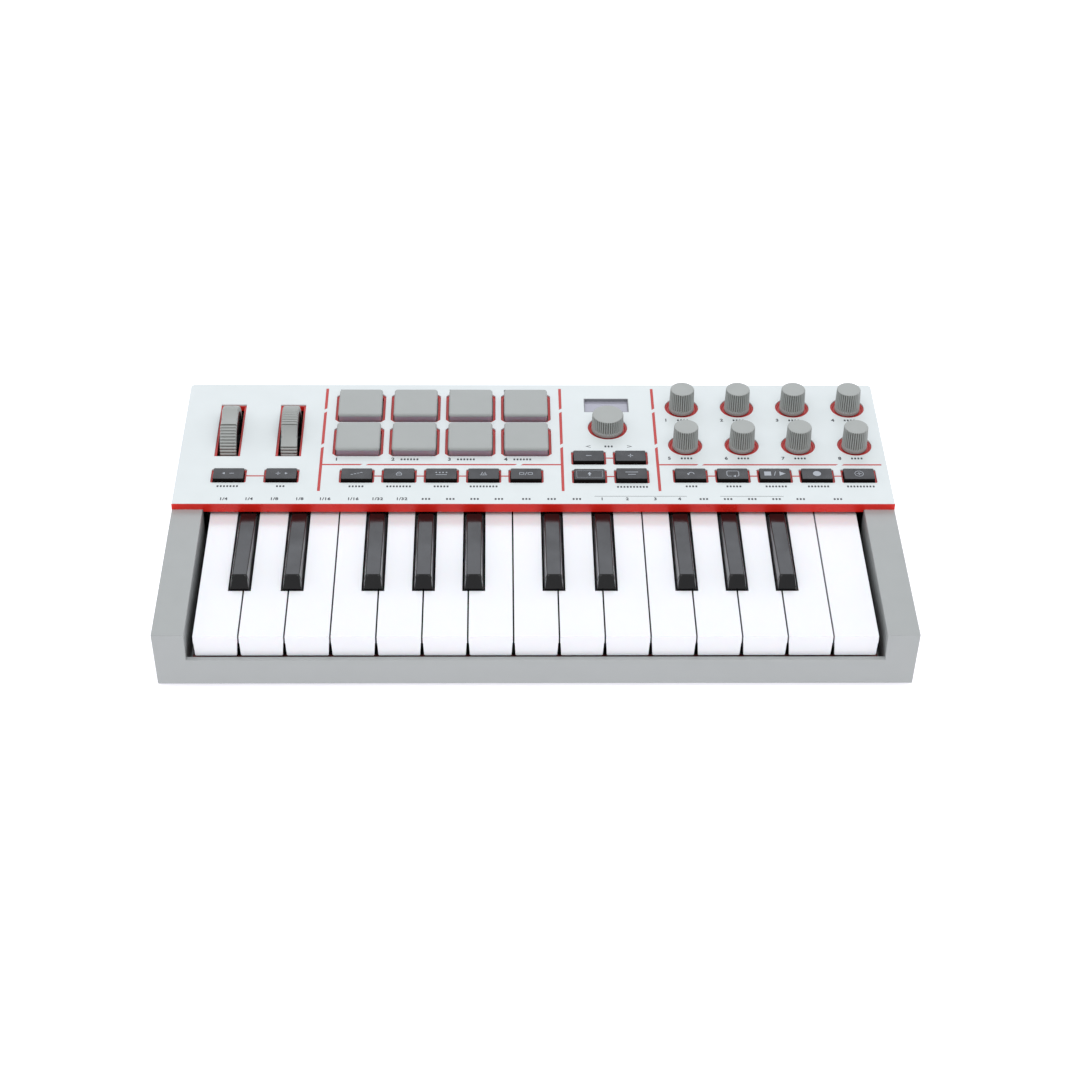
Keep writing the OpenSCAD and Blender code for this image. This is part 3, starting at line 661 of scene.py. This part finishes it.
def build_frame():
    keybed = skin("keybed_frame", "keybed", (0.15 * MM, 1))
    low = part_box("keybed_frame")[0]
    pivot = Vector(JOINTS["black_key_01_press"]["pos_m"])
    rod_r, felt_back, felt_z = 1.53 * MM, low.y + 6 * MM, low.z + 5.2 * MM

    def rule(centre, _normal):
        """Steel on the pivot rod, felt on the stop strip, black plastic elsewhere."""
        if math.hypot(centre.y - pivot.y, centre.z - pivot.z) < rod_r:
            return 1
        return 2 if centre.y < felt_back and centre.z > felt_z else 0

    paint(keybed, rule)
    dress(keybed, "root", "keybed_black", "black", "steel", "felt", replaces=["keybed_frame"])


def build_boards():
    boards = skin("circuit_boards", "circuit_assembly", (0.08 * MM, 1))
    low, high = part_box("circuit_boards")
    board_top = high.z - 6.4 * MM
    socket_front, usb_right = high.y - 27 * MM, low.x + 40 * MM
    dome_low, dome_high = low.z + 1.7 * MM, low.z + 5.5 * MM

    def rule(centre, _normal):
        """Black and steel on sockets, switches and encoders, silicone on domes, green elsewhere."""
        if centre.y > socket_front and centre.z < board_top - 2 * MM:
            return 3 if centre.x < usb_right else 2
        if centre.z > board_top + 0.1 * MM:
            return 3 if centre.z > board_top + 3 * MM else 2
        return 1 if dome_low < centre.z < dome_high else 0

    paint(boards, rule)
    dress(boards, "root", "circuit_green", "board", "dome", "black", "steel", replaces=["circuit_boards"])


# ---- Feet and screws ----

def build_foot(name, low, high):
    """A rubber foot with a dished underside, in the middle of a CAD foot's box."""
    profile = [(radius * MM, z * MM, 0) for radius, z in (
        (1, 0.5), (4.2, 0.45), (4.8, 0), (5.9, 0), (6.35, 0.2), (6.5, 0.6), (6.5, 2.4), (6.2, 2.5))]
    bm = bmesh.new()
    loft(bm, turned_rings(((low.x + high.x) / 2, (low.y + high.y) / 2), profile, 64))
    return dress(to_object(name, bm), "root", "foot_rubber", "rubber")


def build_screw(name, low, high, shank_r):
    """A pan-head screw, head down, with a round driver socket and a threaded shank."""
    head_z, head_r = low.z, (high.x - low.x) / 2
    thread_z, thread_pitch = head_z + 1.4 * MM, 0.9 * MM
    turns = round((high.z - thread_z) / thread_pitch)
    profile = [(head_r * 0.4, head_z + 0.8 * MM, 0), (head_r * 0.46, head_z + 0.03 * MM, 0),
               (head_r * 0.7, head_z + 0.03 * MM, 0), (head_r * 0.93, head_z + 0.25 * MM, 0),
               (head_r, head_z + 0.6 * MM, 0), (head_r, head_z + 1.15 * MM, 0),
               (shank_r, head_z + 1.2 * MM, 0)]
    pitch = (high.z - head_z - 1.6 * MM) / turns
    for i in range(turns):
        z = thread_z + i * pitch
        profile += [(shank_r * 0.8, z, 0), (shank_r, z + pitch * 0.4, 0),
                    (shank_r * 0.8, z + pitch * 0.8, 0)]
    profile.append((shank_r * 0.3, high.z, 0))
    bm = bmesh.new()
    loft(bm, turned_rings(((low.x + high.x) / 2, (low.y + high.y) / 2), profile, 32))
    return dress(to_object(name, bm), "root", "steel", "steel")


def solids_of(node):
    """(low, high) corners of each separate solid in a CAD node."""
    bm = bmesh.new()
    bm.from_mesh(NODES[node].data)
    bmesh.ops.remove_doubles(bm, verts=bm.verts, dist=WELD)
    left = set(bm.verts)
    found = []
    while left:
        stack = [left.pop()]
        group = list(stack)
        while stack:
            for edge in stack.pop().link_edges:
                for vertex in edge.verts:
                    if vertex in left:
                        left.remove(vertex)
                        stack.append(vertex)
                        group.append(vertex)
        low = Vector([min(v.co[k] for v in group) for k in range(3)])
        high = Vector([max(v.co[k] for v in group) for k in range(3)])
        found.append((low, high))
    bm.free()
    return sorted(found, key=lambda box: (round(box[0].z, 5), round(box[0].y, 4), round(box[0].x, 4)))


def build_feet_and_screws():
    feet = case_screws = board_screws = 0
    widest_screw, highest_case_screw = 10 * MM, 10 * MM
    last = None
    for low, high in solids_of("feet_and_screws"):
        if high.x - low.x > widest_screw:
            feet += 1
            last = build_foot(f"rubber_foot_{feet}", low, high)
        elif low.z < highest_case_screw:
            case_screws += 1
            last = build_screw(f"case_screw_{case_screws}", low, high, 1.25 * MM)
        else:
            board_screws += 1
            last = build_screw(f"board_screw_{board_screws}", low, high, 1 * MM)
    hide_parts("feet_and_screws")


# ---- Printed marks ----

class Print:
    """Thin ink shapes on a flat surface, gathered into one piece."""

    def __init__(self, z):
        self.bm = bmesh.new()
        self.z = z
        self.bottom, self.top = z - 0.02 * MM, z + 0.03 * MM

    def polygon(self, points):
        loft(self.bm, [[Vector((x, y, z)) for x, y in points] for z in (self.bottom, self.top)])

    def bar(self, x, y, width, height, slant=0.0):
        """A bar whose far edge is shifted by slant to one side, and its near edge to the other."""
        w, h = width / 2, height / 2
        self.polygon([(x - w - slant, y - h), (x + w - slant, y - h),
                      (x + w + slant, y + h), (x - w + slant, y + h)])

    def disc(self, x, y, radius):
        steps = 24
        self.polygon([(x + radius * math.cos(a), y + radius * math.sin(a))
                      for a in (2 * math.pi * i / steps for i in range(steps))])

    def arc(self, x, y, radius, width, start, end):
        steps = max(6, int(abs(end - start) / 12))
        outer, inner = radius + width / 2, radius - width / 2
        for i in range(steps):
            a, b = (math.radians(start + (end - start) * k / steps) for k in (i, i + 1))
            self.polygon([(x + outer * math.cos(a), y + outer * math.sin(a)),
                          (x + outer * math.cos(b), y + outer * math.sin(b)),
                          (x + inner * math.cos(b), y + inner * math.sin(b)),
                          (x + inner * math.cos(a), y + inner * math.sin(a))])

    def triangle(self, x, y, size, turn):
        corners = [math.radians(turn + a) for a in (0, 120, 240)]
        self.polygon([(x + size * math.cos(a), y + size * math.sin(a)) for a in corners])

    def chevron(self, x, y, size, side):
        half, rise, thick = side * size / 2, size * 0.42, 0.14 * size
        self.polygon([(x - half, y), (x + half, y + rise), (x + half, y + rise - thick),
                      (x - half + side * thick * 2.2, y), (x + half, y - rise + thick),
                      (x + half, y - rise)])

    def frame(self, x, y, width, height, line):
        self.bar(x, y + height / 2, width, line)
        self.bar(x, y - height / 2, width, line)
        self.bar(x - width / 2, y, line, height + line)
        self.bar(x + width / 2, y, line, height + line)

    def digits(self, text, x, y, height):
        """Plain numerals, centred, from Blender's own font."""
        curve = bpy.data.curves.new("numeral", "FONT")
        curve.body = text
        size_per_height, boldness = 1.38, 0.045
        curve.size = height * size_per_height
        curve.align_x = "CENTER"
        curve.align_y = "CENTER"
        curve.extrude = 0.025 * MM
        curve.offset = height * boldness
        curve.resolution_u = 3
        curve.space_character = 1.1
        holder = bpy.data.objects.new("numeral", curve)
        bpy.context.scene.collection.objects.link(holder)
        bpy.context.view_layer.update()
        drawn = holder.evaluated_get(bpy.context.evaluated_depsgraph_get())
        mesh = bpy.data.meshes.new_from_object(drawn)
        mesh.transform(Matrix.Translation((x, y, self.z + 0.005 * MM)))
        self.bm.from_mesh(mesh)
        bpy.data.objects.remove(holder)
        bpy.data.curves.remove(curve)
        bpy.data.meshes.remove(mesh)

    def draw(self, x, y, marks):
        """Draws (shape, sizes...) marks given in millimetres round a point. Angles come last."""
        lengths = {"bar": 5, "disc": 3, "arc": 4, "triangle": 3, "chevron": 3, "frame": 5}
        for shape, *sizes in marks:
            count = lengths[shape]
            scaled = [size * MM for size in sizes[:count]] + list(sizes[count:])
            scaled[0] += x
            scaled[1] += y
            getattr(self, shape)(*scaled)

    def dots(self, x, y, width):
        """A row of small square dots, where the photographed keyboard has a word."""
        step = 1.5
        count = max(2, round(width / (step * MM)))
        for i in range(count):
            self.bar(x + (i - (count - 1) / 2) * step * MM, y, 0.85 * MM, 1.3 * MM)

    def done(self, name, body, material, slot):
        bmesh.ops.remove_doubles(self.bm, verts=self.bm.verts, dist=0.0005 * MM)
        return dress(to_object(name, self.bm), body, slot, material)


def plus(x, size, line):
    """The two marks of a plus sign."""
    return [("bar", x, 0, size, line), ("bar", x, 0, line, size)]


# Generic signs on the button caps, in millimetres from the middle of a cap
LOOP_CORNERS = [("arc", 1.9 * sx, 1.1 * sy, 0.9, 0.3, start, start + 90)
                for sx, sy, start in CORNERS]
SIGNS = {
    "octave_down_button": [("triangle", -2.2, 0, 0.9, 180), ("bar", 1.5, 0, 2.2, 0.35)],
    "octave_up_button": [("triangle", 2.2, 0, 0.9, 0)] + plus(-1.5, 2.2, 0.35),
    "arp_button": [("bar", -2.2 + 1.45 * i, -0.75 + 0.5 * i, 1.1, 0.35) for i in range(4)],
    "latch_button": [("frame", 0, -0.5, 2.4, 1.5, 0.3), ("arc", 0, 0.3, 0.8, 0.3, 0, 180)],
    "repeat_button": [("disc", -2.4 + 1.6 * i, 0.8, 0.4) for i in range(4)] + [("bar", 0, -0.9, 5.2, 0.35)],
    "tempo_button": [("bar", 0, -1.1, 3.4, 0.35), ("bar", -0.9, 0, 0.3, 2.2, 0.35),
                     ("bar", 0.9, 0, 0.3, 2.2, -0.35), ("bar", 0.2, 0.1, 0.25, 1.6, 0.4)],
    "bank_button": [("frame", -2, 0, 2, 1.6, 0.3), ("frame", 2, 0, 2, 1.6, 0.3),
                    ("bar", 0, 0, 0.25, 2.4, 0.4)],
    "minus_button": [("bar", 0, 0, 2.6, 0.4)],
    "plus_button": plus(0, 2.5, 0.4),
    "shift_button": [("frame", 0, 0, 12, 5.2, 0.12), ("triangle", 0, 0.5, 1.1, 90),
                     ("bar", 0, -0.7, 0.7, 1.1)],
    "preset_button": [("bar", 0, 1, 6, 0.4), ("bar", 0, -0.8, 3.6, 0.4)],
    "undo_button": [("arc", 0.3, -0.4, 1.3, 0.35, 0, 170), ("triangle", -1.1, -0.4, 0.8, 270)],
    "loop_button": LOOP_CORNERS + [("bar", 0, 2, 3.8, 0.3), ("bar", -1.3, -2, 1.2, 0.3),
                                   ("bar", -2.8, 0, 0.3, 2.2), ("bar", 2.8, 0, 0.3, 2.2),
                                   ("triangle", 0.9, -2, 0.9, 180)],
    "play_button": [("bar", -3.4, 0, 3.2, 3.1), ("bar", 0, 0, 0.3, 3.2, 0.4),
                    ("triangle", 3.1, 0, 1.9, 0)],
    "record_button": [("disc", 0, 0, 1.9)],
    "overdub_button": [("arc", 0, 0, 2, 0.25, 0, 360)] + plus(0, 2.3, 0.3),
}

# Width in millimetres of the row of dots in front of a button
CAPTIONS = {"octave_down_button": 10.5, "octave_up_button": 4.5, "arp_button": 7.5, "latch_button": 12,
            "repeat_button": 7.5, "tempo_button": 13.5, "preset_button": 15, "undo_button": 6,
            "loop_button": 7.5, "play_button": 10.5, "record_button": 10.5, "overdub_button": 13.5}
# Labels behind the first eight keys. Four later keys have the numbers 1 to 4, and the rest have dots.
KEY_LABELS = ["1/4", "1/4", "1/8", "1/8", "1/16", "1/16", "1/32", "1/32"]
# First and last key of the numbered group, and of a group of dots that also has a line over it
NUMBERED_KEYS, LINED_KEYS = (15, 18), (20, 22)
KEY_COUNT = len(WHITE_KEYS) + len(BLACK_KEYS)
KEYS_PER_OCTAVE = 12


def key_label_place(key):
    """Middle of the label behind a key, the keys being counted from the left."""
    first_label, low_step, second_label, high_step = 6.4 * MM, 11.7 * MM, 66.2 * MM, 11.25 * MM
    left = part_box("white_key_01")[0].x - 0.35 * MM
    number, step = divmod(key, KEYS_PER_OCTAVE)
    if key == KEY_COUNT - 1:
        return left + 2 * OCTAVE + 11 * MM
    along = first_label + low_step * step if step < 5 else second_label + high_step * (step - 5)
    return left + number * OCTAVE + along


def build_button_signs():
    for node, marks in SIGNS.items():
        centre, high = middle(node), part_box(node)[1]
        ink = Print(high.z)
        ink.draw(centre.x, centre.y, marks)
        ink.done(f"{node}_sign", node, "pale_ink", "print_pale")


def print_pad_marks(ink):
    """A number at a corner of each pad, and rows of dots in front of pads 2 to 4."""
    across, behind, size = 9.8 * MM, 14.25 * MM, 2.3 * MM
    back_row_shift = 28.3 * MM
    for number, (x, y) in enumerate(pad_centres(), start=1):
        shift = back_row_shift if number > 4 else 0
        ink.digits(str(number), x - across, y - behind + shift, size)
        if 1 < number < 5:
            ink.dots(x - 2 * MM, y - behind, 9 * MM)


def print_knob_marks(ink):
    """A number and a row of dots in front of each numbered knob."""
    across, ahead = 8.1 * MM, 10.5 * MM
    for number in range(1, 9):
        centre = middle(f"knob_{number}")
        ink.digits(str(number), centre.x - across, centre.y - ahead, 2.2 * MM)
        ink.dots(centre.x, centre.y - ahead, 6 * MM)


def print_button_marks(ink):
    """Dots in front of buttons, and the chevrons and dots between the selector and its buttons."""
    ahead = 8 * MM
    for node, width in CAPTIONS.items():
        centre = middle(node)
        ink.dots(centre.x, centre.y - ahead, width * MM)
    row = middle("minus_button").y + 9.3 * MM
    for node, side in (("minus_button", 1), ("plus_button", -1)):
        ink.chevron(middle(node).x, row, 2.4 * MM, side)
    ink.dots(middle("selector_knob").x, row, 4.5 * MM)


def print_key_marks(ink):
    """A label behind each key, and a line over each of two groups of labels."""
    label_y, size, dots_width = ACCENT_FRONT + 4 * MM, 2 * MM, 4.5 * MM
    for key in range(KEY_COUNT):
        x = key_label_place(key)
        if key < len(KEY_LABELS):
            ink.digits(KEY_LABELS[key], x, label_y, size)
        elif NUMBERED_KEYS[0] <= key <= NUMBERED_KEYS[1]:
            ink.digits(str(key - NUMBERED_KEYS[0] + 1), x, label_y, size)
        else:
            ink.dots(x, label_y, dots_width)
    margin, line = 3.5 * MM, 0.2 * MM
    for first, last in (NUMBERED_KEYS, LINED_KEYS):
        left, right = key_label_place(first) - margin, key_label_place(last) + margin
        ink.bar((left + right) / 2, label_y + 2.1 * MM, right - left, line)


def build_panel_print():
    ink = Print(PANEL_Z)
    print_pad_marks(ink)
    print_knob_marks(ink)
    print_button_marks(ink)
    print_key_marks(ink)
    ink.done("panel_print", "root", "dark_ink", "print_dark")


# ---- Sockets ----

# Jacks at the back, in millimetres: piece, x, z, radius of the bore, radius of the nut
JACKS = [("sustain_jack_ring", -84, 16.5, 3.3, 5.6),
         ("midi_jack_ring", -106, 19.4, 1.9, 3.9)]


def build_socket_rings():
    """Round nuts outside the two jacks at the back."""
    chamfer = 0.35
    for name, x, z, bore, outer in JACKS:
        centre = (x * MM, BACK_Y, z * MM)
        profile = [(-0.4, bore), (0.5, bore), (0.9, bore + chamfer), (0.9, outer - chamfer),
                   (0.6, outer), (-0.4, outer)]
        rings = tube_rings(centre, (0, 1, 0), [(along * MM, radius * MM) for along, radius in profile], 48)
        bm = bmesh.new()
        loops = [[bm.verts.new(point) for point in ring] for ring in rings]
        for a, b in zip(loops, loops[1:] + loops[:1]):
            for i in range(len(a)):
                j = (i + 1) % len(a)
                bm.faces.new((a[i], a[j], b[j], b[i]))
        dress(to_object(name, bm), "root", "keybed_black", "black")


# ---- Camera, floor and light ----

def add_camera():
    """The photograph's camera. Pitch turns it down, yaw to the right, and roll lifts its right side."""
    data = bpy.data.cameras.new("camera")
    data.sensor_width = 36
    data.lens = 81.27
    data.clip_start, data.clip_end = 0.05, 20
    camera = bpy.data.objects.new("camera", data)
    bpy.context.scene.collection.objects.link(camera)
    pitch, yaw, roll = 0.67175, 0.024, 0.015
    ahead = Vector((math.sin(yaw) * math.cos(pitch), math.cos(yaw) * math.cos(pitch), -math.sin(pitch)))
    right = Vector((math.cos(yaw), -math.sin(yaw), 0))
    up = right.cross(ahead)
    turned_right = right * math.cos(roll) + up * math.sin(roll)
    turned_up = -right * math.sin(roll) + up * math.cos(roll)
    place = Matrix((turned_right, turned_up, -ahead)).transposed().to_4x4()
    aside, in_front, above = -0.01848, -0.80194, 0.71868
    place.translation = Vector((aside, in_front + CAD_BOX[0].y, above + FOOT_HEIGHT))
    camera.matrix_world = place
    bpy.context.scene.camera = camera


def add_floor():
    half_size = 15
    bm = bmesh.new()
    bmesh.ops.create_grid(bm, x_segments=1, y_segments=1, size=half_size)
    floor = to_object("floor", bm)
    shader = Shader("white_floor", (0.93, 0.93, 0.93), 0.85)
    shader.surface.inputs["Emission Color"].default_value = (1, 0.97, 1.06, 1)
    shader.surface.inputs["Emission Strength"].default_value = 0.5
    floor.data.materials.append(shader.material)


def add_area(name, place, size, power):
    """A soft box that points at the middle of the keyboard."""
    target = (0, 0, 0.02)
    data = bpy.data.lights.new(name, "AREA")
    data.shape = "RECTANGLE"
    data.size, data.size_y = size
    data.energy = power
    light = bpy.data.objects.new(name, data)
    bpy.context.scene.collection.objects.link(light)
    light.location = place
    light.rotation_euler = (Vector(target) - Vector(place)).to_track_quat("-Z", "Y").to_euler()
    light.visible_camera = False
    return light


def add_lights():
    scene = bpy.context.scene
    scene.view_settings.view_transform = "Standard"
    world = bpy.data.worlds.new("studio")
    scene.world = world
    world.use_nodes = True
    background = world.node_tree.nodes["Background"]
    background.inputs["Color"].default_value = (0.98, 0.99, 1.0, 1)
    background.inputs["Strength"].default_value = 0.52
    back = add_area("soft_box_back", (0, 0.94, 0.78), (1.2, 0.5), 3.2)
    back.data.color = (0.93, 0.97, 1.06)
    add_area("soft_box_top", (0, -0.3, 1.3), (1.5, 1.2), 9.4)
    add_area("front_fill", (0, -1.5, 0.6), (1.6, 0.5), 1.3)
    for side in (-1, 1):
        add_area(f"side_box_{side + 1}", (1.25 * side, 0.75, 0.3), (0.7, 0.5), 2.2)


add_camera()
add_floor()
add_lights()
build_case()
build_accent()
build_overlay()
build_pads()
build_display()
build_white_keys()
build_black_keys()
build_buttons()
build_knobs()
# How far each thumb scoop leans from the top towards the player at rest
PITCH_SCOOP, MODULATION_SCOOP = math.radians(5.6), math.radians(39.4)
build_wheel("pitch_wheel", "pitch_wheel_turn", PITCH_SCOOP)
build_wheel("modulation_wheel", "modulation_wheel_turn", MODULATION_SCOOP)
build_frame()
build_boards()
build_feet_and_screws()
build_panel_print()
build_button_signs()
build_socket_rings()
